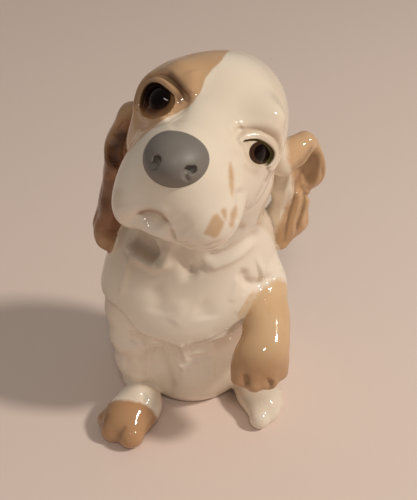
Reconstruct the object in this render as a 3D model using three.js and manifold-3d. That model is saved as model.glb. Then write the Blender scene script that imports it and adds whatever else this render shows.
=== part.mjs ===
// Porcelain puppy figurine, sitting upright with its head tilted and one forepaw raised.
// Millimetres, +Z up. The puppy faces -Y and its left side is +X.
// Each casting is a sculpted form: soft masses blended together, then skinned with a closed mesh.
// The castings meet with a thin seam, where the real ones are luted together with slip.
import * as THREE from 'three';
import { mergeVertices } from 'three/addons/utils/BufferGeometryUtils.js';
import Module from 'manifold-3d';

const wasm = await Module();
wasm.setup();

// Driving dimensions
const wallThickness = 3.2;
const lutingGap = 0.3;
const ventDiameter = 3.4;
const ventSetback = 7;
const airwayDiameter = 3;
const softBlend = 8;
const limbBlend = 3;
const creaseBlend = 1;
const pawToeRadius = 2.9;

// Centre of the flat base, where the part's own origin lies
const baseCentre = [3.5, 13, 0];

// Torso: rump and haunches on the floor, chest and shoulders above, neck leaning to the puppy's left
const torso = {
  rump: { at: [3.5, 14, 19], radii: [24.5, 21, 23] },
  belly: { at: [2, 3, 24], radii: [18, 12, 26] },
  chest: { at: [-0.7, 1, 47.5], radii: [24.2, 16.5, 21] },
  back: { at: [3.6, 12, 50], radii: [22.5, 17, 29], turn: [-8, 0, 0] },
  shoulders: { at: [2.7, 5, 60], radii: [21, 15.5, 17] },
  neck: { from: [1.8, 4, 68], to: [6.8, -3, 91], radii: [16.3, 15.3] },
  rightHaunch: { at: [-11.5, 14, 16], radii: [12, 17, 17], turn: [0, 0, 12] },
  leftHaunch: { at: [19, 13, 16], radii: [12, 17, 17], turn: [0, 0, -12] },
  sleeve: { at: [22.1, -1, 47], radii: [8.3, 10.5, 9.3] },
  haunchBlend: 4,
  sleeveBlend: 4,
};

// Pouch of loose skin under the right side of the chin: a hollow with a ridge round it
const pouch = {
  ridge: [[-16.2, -5.2, 68], [-14.3, -8, 67.2], [-10.6, -11.2, 66.6], [-7.8, -12.3, 68.6], [-7.1, -12, 72.4],
    [-8.7, -10.6, 75.6]],
  ridgeRadii: [1.2, 1.7, 1.9, 1.8, 1.5, 1.2],
  ridgeBlend: 1.8,
  hollow: [[-16.6, -6.2, 72.6], [-13.2, -10.8, 71.7], [-10.2, -13.2, 71]],
  hollowRadii: [3.2, 3.4, 3],
  hollowBlend: 2.5,
};

// Bib of longer fur over the chest: its lower edge is a V in front, level at the sides, and fades out on the back
const bib = {
  thickness: 1.7,
  centre: [2, 4],
  tipHeight: 37.5,
  tipTurn: -18,
  rightRise: 0.2,
  leftRise: 0.15,
  sideHeight: 51,
  edgeSlope: 0.75,
  edgeRound: 1,
  fadeStart: -0.1,
  fadeEnd: 0.7,
};

// Head, in its own frame: origin between the ears, face to -Y
const head = {
  at: [7, -9.5, 107],
  yaw: -18.7,
  pitch: -30.1,
  roll: 19.8,
  skull: { at: [-0.2, 2.8, 3.2], radii: [16.8, 20, 17.9] },
  face: { at: [-2, -8.2, 2.2], radii: [18.9, 11.2, 13] },
  cheeks: { at: [-0.9, -3.9, -10.1], radii: [18.1, 14, 11.2] },
  bridge: { from: [0, -8, -1], to: [-0.4, -26, -5.5], radii: [9, 6.5] },
  muzzle: { at: [0.1, -18.4, -10.4], radii: [12.7, 14, 10.6] },
  upperLip: { at: [0.9, -21.4, -14.5], radii: [11.8, 9.5, 8.2] },
  rightFlew: { at: [-7.9, -17.9, -19], radii: [6.3, 11, 9.8] },
  leftFlew: { at: [7.9, -18.1, -17.1], radii: [8.6, 11, 9.6] },
  rightBrow: { at: [-8.5, -13.2, 8.5], radii: [6, 4.5, 3.6], turn: [0, 20, 25] },
  leftBrow: { at: [9.5, -12.6, 8.4], radii: [6.5, 4.5, 4.2], turn: [0, -20, -25] },
  chin: { at: [-0.7, -18.5, -24.7], radii: [5.8, 8, 2.8] },
  nose: { at: [-1.3, -29.3, -7.1], radii: [7.7, 9.7, 6.3], turn: [16, -20, 0] },
  featureBlend: 4,
  chinBlend: 1.2,
  noseBlend: 0.5,
};

// Eyes, in the head's frame: the lids open round each eyeball, deepest under the upper lid
const eyes = [
  {
    ball: { at: [-8.2, -11, 0.7], radii: [9, 9, 9] },
    opening: { at: [-13, -17.5, 1.6], radii: [6.7, 2.1, 4.5], turn: [-20, 0, -36] },
  },
  {
    ball: { at: [7.5, -11.2, -0.2], radii: [8, 8, 8] },
    opening: { at: [13.1, -16, 0.7], radii: [5.9, 2, 3.3], turn: [-20, 0, 50] },
  },
];

// Ears: on the right a thick flap with a hollow near its top hangs beside the head; on the left it folds
// outwards in a roll first, with a rim and a pocket behind it
const rightEar = {
  root: [-15.5, 7, 1],
  path: [[-14.6, 7.5, 101], [-17.1, 7, 94], [-18, 7, 86], [-19.6, 7, 77], [-22.7, 6.5, 68.5], [-19.6, 6.5, 64.5]],
  radii: [4, 5.7, 7.3, 7.1, 7.5, 6.1, 6],
  thinAlong: [0.93, -0.37, 0],
  thinning: 1.9,
  hollow: [[-15.7, 2.5, 104.3], [-17.5, 2, 101.1], [-19.1, 1.2, 98], [-19.2, 0.3, 95.4], [-17.6, 0.2, 93.4]],
  hollowRadii: [1.2, 1.8, 2.2, 2.1, 1.4],
  hollowBlend: 0.8,
};

const leftEar = {
  root: [9, 12, 4],
  roll: [[27.1, 1, 90.3], [30.9, 4, 90.7], [34.5, 5.5, 92.4], [36.5, 6.5, 92.2]],
  rim: [[38.6, 7.2, 89.1], [40.7, 8, 83.7], [41.4, 8.5, 78.9], [40, 9, 76.1], [38, 9.5, 73.9]],
  rollRadii: [3.4, 4.3, 4.3, 3.2, 1.8, 1.2, 1.3, 1.3, 1.2, 1],
  pocket: [[37.2, 10.5, 83.4], [38, 11, 79.3], [36.6, 11.5, 75.6]],
  pocketRadii: [2.9, 3.2, 3],
  flap: [[32.2, 8.5, 87], [32, 9, 76], [31.7, 10, 64.8], [29.5, 10.4, 55.2]],
  flapRadii: [4.4, 6.3, 6.7, 4],
  blend: 1.5,
  thinAlong: [0.35, 0.94, 0],
  thinning: 1.9,
};

// Forelegs: the right one stands straight down onto the hind foot, the left paw hangs in front
const rightForeleg = {
  path: [[-15, 2, 50], [-17.4, -0.5, 43], [-17.9, -1.5, 33], [-17.2, 1, 20], [-15.9, 3, 10]],
  radii: [8, 7.6, 6.4, 6, 6.3],
};

const leftForeleg = {
  path: [[21.3, -1.1, 47.2], [22.7, -8, 46.5], [21.2, -17, 41]],
  radii: [7.4, 7.1, 7.1],
  paw: { at: [18, -21.5, 36], radii: [7.7, 6.6, 7.6], turn: [20, 0, 0] },
  toes: [[12.3, -24.5, 32], [16.2, -26.5, 31.2], [20.5, -26.5, 31.8], [24, -24, 32.6]],
  toeReach: [0.1, 1, 2.6],
  toeBlend: 2,
};

// Hind feet: splayed outwards under the haunches, four toes each
const rightHindLeg = {
  heel: [-17.1, -6.6, 5.7],
  tip: [-26.6, -15.5, 3],
  radii: [7.4, 7.8],
  toeRadius: 3,
  toeSpread: 3.7,
  setbacks: [3, 1.4, 0.9, 0.4],
};
const leftHindLeg = {
  heel: [19.6, -1.1, 6],
  tip: [24.5, -14.7, 3],
  radii: [5.8, 5.4],
  toeRadius: 2.7,
  toeSpread: 2.9,
  setbacks: [-1.2, 0.7, 2.4, 3.8],
};
const hindFoot = {
  instepShare: 0.55,
  toeLength: 6,
  toeDrop: 1.2,
  toeBlend: 1.6,
  toePlaces: [-1.5, -0.5, 0.5, 1.5],
};

const tail = { path: [[4, 31, 9], [7, 37, 6.5], [11, 39, 5]], radii: [5.4, 4.4, 3.3] };

// Where the skins and hollows grow from, and where the airway runs; the head's lines are in its frame
const spines = {
  torso: [[3, 10, 16], [3, 6, 34], [3.5, 6, 54], [5.5, 3, 74]],
  head: [[0, 9, 4], [0, 0, 0], [0, -9, -6], [0, -17, -11]],
  torsoHollow: [[3, 11, 16], [3, 8, 36], [4, 6, 56]],
  headHollow: [[0, 9, 4], [0, 0, 0]],
  airway: [[4, 6, 56], [0, 3, 0]],
};
const hollowRings = 16;
const hollowSides = 16;
const holeSides = 20;
const eyeSides = 32;
const eyeRings = 20;
const ventOverrun = 2;
const floorDepth = torso.rump.radii[2];
const floorReach = 8;
const floorSpan = floorReach * torso.rump.radii[0];

// Glaze colours
const ivory = { color: '#ece2cd', roughness: 0.12, metalness: 0 };
const tan = { color: '#c7996b', roughness: 0.14, metalness: 0 };
const brown = { color: '#a87750', roughness: 0.14, metalness: 0 };

// Steps that find a form's surface along a ray
const tiny = 1e-6;
const marchSteps = 200;
const marchShare = 0.8;
const marchNear = 0.003;

const vector = (list) => new THREE.Vector3(...list);
const radians = (degrees) => THREE.MathUtils.degToRad(degrees);

// Soft ellipsoid, turned about X, then Y, then Z in degrees
function egg({ at, radii, turn = [0, 0, 0] }) {
  const centre = vector(at);
  const size = vector(radii);
  const euler = new THREE.Euler(...turn.map(radians), 'ZYX');
  const undo = new THREE.Quaternion().setFromEuler(euler).invert();
  const local = new THREE.Vector3();
  return (point) => {
    local.copy(point).sub(centre).applyQuaternion(undo).divide(size);
    const near = local.length() + tiny;
    const slope = local.divide(size).length() + tiny;
    return (near * (near - 1)) / slope;
  };
}

// Tapered rod with round ends
function limb({ from, to, radii }) {
  const start = vector(from);
  const span = vector(to).sub(start);
  const lengthSquared = span.lengthSq();
  const offset = new THREE.Vector3();
  return (point) => {
    offset.copy(point).sub(start);
    const share = THREE.MathUtils.clamp(offset.dot(span) / lengthSquared, 0, 1);
    return offset.addScaledVector(span, -share).length() - THREE.MathUtils.lerp(radii[0], radii[1], share);
  };
}

function softMin(a, b, width) {
  const overlap = Math.max(width - Math.abs(a - b), 0) / width;
  return Math.min(a, b) - (overlap * overlap * width) / 4;
}

const softMax = (a, b, width) => -softMin(-a, -b, width);

const blend = (width, ...forms) => (point) =>
  forms.slice(1).reduce((value, form) => softMin(value, form(point), width), forms[0](point));

const carve = (width, form, ...cuts) => (point) =>
  cuts.reduce((value, cut) => softMax(value, -cut(point), width), form(point));

// Rods joined end to end through a list of points
function chain(points, radii, width) {
  const rods = points.slice(1).map((to, i) => limb({ from: points[i], to, radii: [radii[i], radii[i + 1]] }));
  return blend(width, ...rods);
}

// Chain of rods flattened along a direction, so that a thick flap follows the same points
function flap(points, radii, width, thinAlong, thinning) {
  const direction = vector(thinAlong).normalize();
  const spread = (point) => point.addScaledVector(direction, (thinning - 1) * point.dot(direction));
  const form = chain(points.map((point) => spread(vector(point)).toArray()), radii, width);
  const moved = new THREE.Vector3();
  return (point) => form(spread(moved.copy(point))) / Math.sqrt(thinning);
}

const smoothStep = THREE.MathUtils.smoothstep;

// Torso form
const coreForm = blend(softBlend, egg(torso.chest), egg(torso.back), egg(torso.shoulders), limb(torso.neck));
const trunkForm = blend(softBlend, egg(torso.rump), egg(torso.belly), coreForm);
const nakedTorso = blend(torso.haunchBlend, trunkForm, egg(torso.rightHaunch), egg(torso.leftHaunch));
const sleeveForm = egg(torso.sleeve);

function bibForm(point) {
  const x = point.x - bib.centre[0];
  const y = point.y - bib.centre[1];
  const frontness = -y / (Math.hypot(x, y) + tiny);
  const fromTip = THREE.MathUtils.radToDeg(Math.atan2(x, -y)) - bib.tipTurn;
  const rise = fromTip < 0 ? -fromTip * bib.rightRise : fromTip * bib.leftRise;
  const edge = Math.min(bib.tipHeight + rise, bib.sideHeight);
  const thickness = bib.thickness * smoothStep(frontness, bib.fadeStart - bib.fadeEnd, bib.fadeStart);
  return softMax(coreForm(point) - thickness, (edge - point.z) * bib.edgeSlope, bib.edgeRound);
}

const dressedTorso = blend(bib.edgeRound, nakedTorso, bibForm);
const sleevedTorso = blend(torso.sleeveBlend, dressedTorso, sleeveForm);
const pouchHollow = chain(pouch.hollow, pouch.hollowRadii, creaseBlend);
const pouchRidge = chain(pouch.ridge, pouch.ridgeRadii, creaseBlend);
const hollowedTorso = carve(pouch.hollowBlend, sleevedTorso, pouchHollow);
const torsoForm = blend(pouch.ridgeBlend, hollowedTorso, pouchRidge);

// Head form, in the head's frame
const flews = blend(head.featureBlend, egg(head.rightFlew), egg(head.leftFlew));
const brows = blend(head.featureBlend, egg(head.rightBrow), egg(head.leftBrow));
const cranium = blend(softBlend, egg(head.skull), egg(head.face), egg(head.cheeks), limb(head.bridge));
const snout = blend(softBlend, cranium, egg(head.muzzle), egg(head.upperLip));
const bareHead = blend(head.featureBlend, snout, flews, brows);

const chinned = blend(head.chinBlend, bareHead, egg(head.chin));
const faceForm = blend(head.noseBlend, chinned, egg(head.nose));

// Head frame, turned about Z, then X, then Y
const headFrame = new THREE.Group();
headFrame.position.set(...head.at);
headFrame.rotation.set(radians(head.pitch), radians(head.roll), radians(head.yaw), 'ZXY');
headFrame.updateMatrixWorld();
const fromHead = headFrame.matrixWorld.clone();
const toHead = fromHead.clone().invert();
const headPoint = new THREE.Vector3();
const headForm = (point) => faceForm(headPoint.copy(point).applyMatrix4(toHead));
const besideHead = (local) => vector(local).applyMatrix4(fromHead).toArray();

// Ears, legs and tail
const rightEarPath = [besideHead(rightEar.root), ...rightEar.path];
const rightFlapForm = flap(rightEarPath, rightEar.radii, limbBlend, rightEar.thinAlong, rightEar.thinning);
const rightHollowForm = chain(rightEar.hollow, rightEar.hollowRadii, creaseBlend);
const rightEarForm = carve(rightEar.hollowBlend, rightFlapForm, rightHollowForm);

const leftEarPath = [besideHead(leftEar.root), ...leftEar.roll, ...leftEar.rim];
const leftFlat = (points, radii) => flap(points, radii, leftEar.blend, leftEar.thinAlong, leftEar.thinning);
const leftRollForm = chain(leftEarPath, leftEar.rollRadii, leftEar.blend);
const leftPocketForm = leftFlat(leftEar.pocket, leftEar.pocketRadii);
const leftFlapForm = leftFlat(leftEar.flap, leftEar.flapRadii);

const rightForelegForm = chain(rightForeleg.path, rightForeleg.radii, limbBlend);
const raisedToes = leftForeleg.toes.map((tip) => {
  const knuckle = vector(tip).add(vector(leftForeleg.toeReach));
  return limb({ from: tip, to: knuckle.toArray(), radii: [pawToeRadius, pawToeRadius] });
});
const leftForelegForm = blend(
  leftForeleg.toeBlend,
  chain(leftForeleg.path, leftForeleg.radii, limbBlend),
  egg(leftForeleg.paw),
  ...raisedToes,
);

function footForm({ heel, tip, radii, toeRadius, toeSpread, setbacks }) {
  const from = vector(heel);
  const to = vector(tip);
  const forward = to.clone().sub(from).setZ(0).normalize();
  const across = new THREE.Vector3(-forward.y, forward.x, 0);
  const instep = from.clone().lerp(to, hindFoot.instepShare);
  const sole = limb({ from: heel, to: instep.toArray(), radii });
  const toes = hindFoot.toePlaces.map((place, i) => {
    const end = to.clone().addScaledVector(across, place * toeSpread);
    end.addScaledVector(forward, -setbacks[i]);
    const knuckle = end.clone().addScaledVector(forward, -hindFoot.toeLength);
    knuckle.z += hindFoot.toeDrop;
    return limb({ from: knuckle.toArray(), to: end.toArray(), radii: [toeRadius, toeRadius] });
  });
  return blend(hindFoot.toeBlend, sole, ...toes);
}

const rightFootForm = footForm(rightHindLeg);
const leftFootForm = footForm(leftHindLeg);
const tailForm = chain(tail.path, tail.radii, limbBlend);

// Closed skin of a form: a sphere's vertices start along a spine and move out to the form's surface
function skin(form, spine, rings, sides, offset = 0) {
  const curve = new THREE.CatmullRomCurve3(spine.map(vector));
  const frames = curve.computeFrenetFrames(rings, false);
  const sphere = new THREE.SphereGeometry(1, sides, rings);
  sphere.deleteAttribute('normal');
  sphere.deleteAttribute('uv');
  const geometry = mergeVertices(sphere, 1e-5);
  const position = geometry.getAttribute('position');
  const direction = new THREE.Vector3();
  const onSphere = new THREE.Vector3();
  const point = new THREE.Vector3();
  for (let i = 0; i < position.count; i += 1) {
    onSphere.fromBufferAttribute(position, i);
    const share = Math.acos(THREE.MathUtils.clamp(onSphere.y, -1, 1)) / Math.PI;
    const ring = Math.round(share * rings);
    const base = curve.getPointAt(share);
    direction.copy(frames.tangents[ring]).multiplyScalar(-onSphere.y);
    direction.addScaledVector(frames.normals[ring], onSphere.x);
    direction.addScaledVector(frames.binormals[ring], onSphere.z);
    direction.normalize();
    let reach = 0;
    for (let step = 0; step < marchSteps; step += 1) {
      const inside = offset - form(point.copy(base).addScaledVector(direction, reach));
      if (inside < marchNear) break;
      reach += inside * marchShare;
    }
    position.setXYZ(i, point.x, point.y, point.z);
  }
  return geometry;
}

// Solids for cutting and joining
function solid(geometry) {
  const closed = geometry.clone();
  closed.deleteAttribute('normal');
  closed.deleteAttribute('uv');
  const merged = mergeVertices(closed, 1e-4);
  return new wasm.Manifold(new wasm.Mesh({
    numProp: 3,
    vertProperties: new Float32Array(merged.getAttribute('position').array),
    triVerts: new Uint32Array(merged.index.array),
  }));
}

function shape(manifold) {
  const mesh = manifold.getMesh();
  const geometry = new THREE.BufferGeometry();
  geometry.setAttribute('position', new THREE.BufferAttribute(new Float32Array(mesh.vertProperties), 3));
  geometry.setIndex(new THREE.BufferAttribute(new Uint32Array(mesh.triVerts), 1));
  return geometry;
}

// Egg-shaped solid in the head's frame
function headEgg({ at, radii, turn = [0, 0, 0] }) {
  const geometry = new THREE.SphereGeometry(1, eyeSides, eyeRings);
  geometry.scale(...radii);
  geometry.applyQuaternion(new THREE.Quaternion().setFromEuler(new THREE.Euler(...turn.map(radians), 'ZYX')));
  geometry.translate(...at);
  return solid(geometry.applyMatrix4(fromHead));
}

// Rod-shaped hole through two points
function hole(from, to, diameter) {
  const start = vector(from);
  const end = vector(to);
  const cylinder = new THREE.CylinderGeometry(diameter / 2, diameter / 2, start.distanceTo(end), holeSides);
  const up = new THREE.Vector3(0, 1, 0);
  cylinder.applyQuaternion(new THREE.Quaternion().setFromUnitVectors(up, end.clone().sub(start).normalize()));
  const middle = start.lerp(end, 0.5);
  cylinder.translate(middle.x, middle.y, middle.z);
  return solid(cylinder);
}

const floorBlock = new THREE.BoxGeometry(floorSpan, floorSpan, floorDepth);
floorBlock.translate(0, 0, -floorDepth / 2);
const underFloor = solid(floorBlock);

// Spines: where each skin grows from, and how fine it is
const skins = {
  torso: { spine: spines.torso, rings: 58, sides: 60 },
  head: { spine: spines.head.map(besideHead), rings: 46, sides: 40 },
  rightEar: { spine: rightEarPath.slice(0, -1), rings: 36, sides: 26 },
  leftRoll: { spine: leftEarPath, rings: 48, sides: 12 },
  leftPocket: { spine: leftEar.pocket, rings: 12, sides: 16 },
  leftFlap: { spine: leftEar.flap, rings: 24, sides: 20 },
  rightForeleg: { spine: rightForeleg.path, rings: 20, sides: 14 },
  leftForeleg: { spine: [...leftForeleg.path, leftForeleg.paw.at], rings: 22, sides: 20 },
  rightHindLeg: { spine: [rightHindLeg.heel, rightHindLeg.tip], rings: 20, sides: 20 },
  leftHindLeg: { spine: [leftHindLeg.heel, leftHindLeg.tip], rings: 20, sides: 20 },
  tail: { spine: tail.path, rings: 12, sides: 10 },
};

const skinOf = (name, form, offset = 0) =>
  solid(skin(form, skins[name].spine, skins[name].rings, skins[name].sides, offset));

const torsoSolid = skinOf('torso', torsoForm);
const openings = eyes.map(({ opening }) => headEgg(opening));
const eyeballs = eyes.map(({ ball }) => headEgg(ball));
const socketed = openings.reduce((rest, opening) => rest.subtract(opening), skinOf('head', headForm));
const headSolid = eyeballs.reduce((whole, ball) => whole.add(ball), socketed);
const torsoGrown = skinOf('torso', torsoForm, lutingGap);
const headGrown = skinOf('head', headForm, lutingGap);
const rightFootGrown = skinOf('rightHindLeg', rightFootForm, lutingGap);

// Hollows, one wall inside the outer skin and clear of the seat between head and neck
const seatWall = (point) => wallThickness + lutingGap - headForm(point);
const underWall = (point) => wallThickness - point.z;
const torsoWall = (point) => torsoForm(point) + wallThickness;
const torsoHollowForm = (point) => Math.max(torsoWall(point), seatWall(point), underWall(point));
const torsoHollow = solid(skin(torsoHollowForm, spines.torsoHollow, hollowRings, hollowSides));
const headHollowForm = (point) => headForm(point) + wallThickness;
const headHollow = solid(skin(headHollowForm, spines.headHollow.map(besideHead), hollowRings, hollowSides));

// Airway between the hollows, and the vent under the base
const airway = hole(spines.airway[0], besideHead(spines.airway[1]), airwayDiameter);
const ventAt = [baseCentre[0], baseCentre[1] + ventSetback];
const vent = hole([...ventAt, -ventOverrun], [...ventAt, wallThickness + ventOverrun], ventDiameter);

const leftEarSolid = skinOf('leftRoll', leftRollForm)
  .add(skinOf('leftPocket', leftPocketForm))
  .add(skinOf('leftFlap', leftFlapForm));

const castings = {
  torso: torsoSolid.subtract(headGrown).subtract(torsoHollow).subtract(airway).subtract(vent),
  head: headSolid.subtract(headHollow).subtract(airway),
  right_ear: skinOf('rightEar', rightEarForm).subtract(headGrown).subtract(torsoGrown),
  left_ear: leftEarSolid.subtract(headGrown).subtract(torsoGrown),
  right_foreleg: skinOf('rightForeleg', rightForelegForm).subtract(torsoGrown).subtract(rightFootGrown),
  left_foreleg: skinOf('leftForeleg', leftForelegForm).subtract(torsoGrown),
  right_hind_leg: skinOf('rightHindLeg', rightFootForm).subtract(torsoGrown),
  left_hind_leg: skinOf('leftHindLeg', leftFootForm).subtract(torsoGrown),
  tail: skinOf('tail', tailForm).subtract(torsoGrown),
};

const glazes = {
  torso: ivory,
  head: ivory,
  right_ear: brown,
  left_ear: tan,
  right_foreleg: ivory,
  left_foreleg: tan,
  right_hind_leg: tan,
  left_hind_leg: ivory,
  tail: ivory,
};

// Each casting's own origin: where it is luted on
const pivots = {
  torso: [baseCentre[0], baseCentre[1], 0],
  right_ear: besideHead(rightEar.root),
  left_ear: besideHead(leftEar.root),
  right_foreleg: rightForeleg.path[0],
  left_foreleg: leftForeleg.path[0],
  right_hind_leg: rightHindLeg.heel,
  left_hind_leg: leftHindLeg.heel,
  tail: tail.path[0],
};

const puppy = new THREE.Group();
puppy.position.set(-baseCentre[0], -baseCentre[1], 0);
puppy.add(headFrame);

for (const [name, casting] of Object.entries(castings)) {
  const geometry = shape(casting.subtract(underFloor));
  const mesh = new THREE.Mesh(geometry, new THREE.MeshStandardMaterial(glazes[name]));
  mesh.name = name;
  if (name === 'head') {
    geometry.applyMatrix4(toHead);
    headFrame.add(mesh);
  } else {
    const [x, y, z] = pivots[name];
    geometry.translate(-x, -y, -z);
    mesh.position.set(x, y, z);
    puppy.add(mesh);
  }
}

export default puppy;
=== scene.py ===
import bpy
import numpy as np
from mathutils import Euler, Matrix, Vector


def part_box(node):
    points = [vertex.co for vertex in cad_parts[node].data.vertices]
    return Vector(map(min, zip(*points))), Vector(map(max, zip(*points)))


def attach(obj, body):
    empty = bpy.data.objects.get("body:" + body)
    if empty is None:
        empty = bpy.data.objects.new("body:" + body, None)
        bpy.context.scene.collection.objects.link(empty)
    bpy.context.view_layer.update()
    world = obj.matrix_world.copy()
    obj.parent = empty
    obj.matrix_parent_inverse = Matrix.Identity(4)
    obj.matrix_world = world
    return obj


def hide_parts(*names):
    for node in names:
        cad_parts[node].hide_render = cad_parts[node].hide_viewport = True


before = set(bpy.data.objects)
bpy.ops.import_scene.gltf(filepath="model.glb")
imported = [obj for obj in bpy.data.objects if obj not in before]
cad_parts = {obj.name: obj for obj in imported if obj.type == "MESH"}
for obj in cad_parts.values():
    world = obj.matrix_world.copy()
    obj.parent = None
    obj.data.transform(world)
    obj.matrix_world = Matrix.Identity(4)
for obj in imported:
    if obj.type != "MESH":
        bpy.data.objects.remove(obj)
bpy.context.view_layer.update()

# Millimetres while sculpting; the part's own origin is the centre of the flat base
BASE = np.array([3.5, 13.0, 0.0])
MM = 0.001
FLOAT = np.float32
COARSE = 1.0
TINY = 1e-6


# Camera, fitted to the outline of the figurine
CAMERA_PITCH, CAMERA_TURN = 38.0, -8.0
CAMERA_AT = np.array([-22.2, -202.7, 221.4])
FOCAL = 879.3
FRAME_W, FRAME_H = 417, 500
SENSOR_HEIGHT = 24
NEAR_CLIP = 0.01


def turned(*degrees):
    """Matrix of three turns in degrees, about x, then y, then z."""
    return np.array(Euler(np.radians(degrees)).to_matrix())


RIGHT, UP, BACK = turned(90 - CAMERA_PITCH, 0, CAMERA_TURN).T


def to_photo(p):
    """Place of each point in the frame, and millimetres per pixel there."""
    q = p - CAMERA_AT
    depth = -(q @ BACK)
    across = FRAME_W / 2 + FOCAL * (q @ RIGHT) / depth
    down = FRAME_H / 2 - FOCAL * (q @ UP) / depth
    return np.stack([across, down], 1), depth / FOCAL


def add_object(name, data):
    thing = bpy.data.objects.new(name, data)
    bpy.context.scene.collection.objects.link(thing)
    return thing


def axes_matrix(x, y, z):
    return Matrix([[x[i], y[i], z[i]] for i in range(3)]).to_4x4()


def add_camera():
    data = bpy.data.cameras.new("camera")
    data.sensor_fit = "VERTICAL"
    data.sensor_height = SENSOR_HEIGHT
    data.lens = FOCAL / FRAME_H * SENSOR_HEIGHT
    data.clip_start = NEAR_CLIP
    camera = add_object("camera", data)
    place = Matrix.Translation(((CAMERA_AT - BASE) * MM).tolist())
    camera.matrix_world = place @ axes_matrix(RIGHT, UP, BACK)
    bpy.context.scene.camera = camera


add_camera()


# Forms: each takes points and gives how far outside itself they lie, in millimetres
def length(v):
    return np.sqrt(np.einsum("ij,ij->i", v, v))


def unit(v):
    return v / np.linalg.norm(v)


def egg(at, radii, turn=(0, 0, 0)):
    at = np.array(at, FLOAT)
    radii = np.array(radii, FLOAT)
    undo = turned(*turn).astype(FLOAT)

    def form(p):
        a = ((p - at) @ undo) / radii
        near = length(a) + FLOAT(TINY)
        slope = length(a / radii) + FLOAT(TINY)
        return near * (near - 1) / slope
    return form


def limb(a, b, ra, rb):
    """Rod with round ends and a radius at each."""
    a = np.array(a, FLOAT)
    d = np.array(b, FLOAT) - a
    square = float(d @ d)

    def form(p):
        q = p - a
        share = np.clip((q @ d) / square, 0, 1)
        return length(q - share[:, None] * d) - (ra + (rb - ra) * share)
    return form


def soft_min(a, b, width):
    overlap = np.maximum(width - np.abs(a - b), 0) / width
    return np.minimum(a, b) - overlap * overlap * width / 4


def soft_max(a, b, width):
    return -soft_min(-a, -b, width)


def blend(width, *forms):
    def form(p):
        value = forms[0](p)
        for other in forms[1:]:
            value = soft_min(value, other(p), width)
        return value
    return form


def chain(points, radii, width):
    rods = [limb(points[i], points[i + 1], radii[i], radii[i + 1]) for i in range(len(points) - 1)]
    return blend(width, *rods)


def flap(points, radii, width, thin, thinning):
    """Chain squeezed along one way by a factor."""
    thin = np.array(thin, float)
    thin /= np.linalg.norm(thin)
    spread = [np.array(p, float) + thin * (thinning - 1) * (np.array(p, float) @ thin) for p in points]
    form = chain(spread, radii, width)
    thin = thin.astype(FLOAT)
    return lambda p: form(p + FLOAT(thinning - 1) * (p @ thin)[:, None] * thin) / FLOAT(thinning ** 0.5)


BALL_MARGIN = 4


def within(form, centre, radius):
    """The form, left out far from its ball of space."""
    centre = np.array(centre, FLOAT)

    def bounded(p):
        away = length(p - centre) - radius
        value = np.maximum(away, 0) + FLOAT(BALL_MARGIN)
        close = away < BALL_MARGIN
        if close.any():
            value[close] = form(p[close])
        return value
    return bounded


def smooth(x, low, high):
    t = np.clip((x - low) / (high - low), 0, 1)
    return t * t * (3 - 2 * t)


# Lines drawn in the frame
def curve(points, closed=False, parts=4):
    """Smooth line through a few points."""
    points = np.array(points, float)
    if closed:
        ring = np.pad(points, ((1, 2), (0, 0)), "wrap")
    else:
        ring = np.pad(points, ((1, 1), (0, 0)), "reflect", reflect_type="odd")
    out = []
    for i in range(1, len(ring) - 2):
        p0, p1, p2, p3 = ring[i - 1:i + 3]
        for t in np.arange(parts) / parts:
            out.append(0.5 * (2 * p1 + (p2 - p0) * t + (2 * p0 - 5 * p1 + 4 * p2 - p3) * t ** 2
                              + (3 * p1 - p0 - 3 * p2 + p3) * t ** 3))
    if not closed:
        out.append(points[-1])
    return np.array(out)


def along(line, q, closed=False):
    """Distance from q to a line, its side (positive on the right) and the share travelled."""
    ends = np.concatenate([line[1:], line[:1]]) if closed else line[1:]
    starts = line if closed else line[:-1]
    best = np.full(len(q), np.inf)
    side = np.zeros(len(q))
    share = np.zeros(len(q))
    count = len(starts)
    for i in range(count):
        d = ends[i] - starts[i]
        r = q - starts[i]
        t = np.clip((r @ d) / max(d @ d, TINY), 0, 1)
        away = r - t[:, None] * d
        square = away[:, 0] ** 2 + away[:, 1] ** 2
        cross = d[0] * r[:, 1] - d[1] * r[:, 0]
        closer = square < best
        best = np.where(closer, square, best)
        side = np.where(closer, np.sign(cross), side)
        share = np.where(closer, (i + t) / count, share)
    return np.sqrt(best), side, share


def depth_in(line, q):
    """Distance from q to a closed line, negative outside it."""
    distance = along(line, q, True)[0]
    inside = np.zeros(len(q), bool)
    for start, end in zip(line, np.roll(line, -1, 0)):
        crosses = (start[1] > q[:, 1]) != (end[1] > q[:, 1])
        slope = (end[0] - start[0]) / (end[1] - start[1] + 1e-12)
        inside ^= crosses & (q[:, 0] < start[0] + (q[:, 1] - start[1]) * slope)
    return np.where(inside, distance, -distance)


# Torso
SOFT, LIMB = 8, 3
HAUNCH_BLEND, SLEEVE_BLEND = 4, 4
chest = egg((-0.7, 1, 47.5), (24.2, 16.5, 21))
back = egg((3.6, 12, 50), (22.5, 17, 29), (-8, 0, 0))
shoulders = egg((2.7, 5, 60), (21, 15.5, 17))
neck = limb((1.8, 4, 68), (6.8, -3, 91), 16.3, 15.3)
rump = egg((3.5, 14, 19), (24.5, 21, 23))
belly = egg((2, 3, 24), (18, 12, 26))
right_haunch = egg((-11.5, 14, 16), (12, 17, 17), (0, 0, 12))
left_haunch = egg((19, 13, 16), (12, 17, 17), (0, 0, -12))
sleeve = egg((22.1, -1, 47), (8.3, 10.5, 9.3))
core = blend(SOFT, chest, back, shoulders, neck)
naked = blend(HAUNCH_BLEND, blend(SOFT, rump, belly, core), right_haunch, left_haunch)


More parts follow.
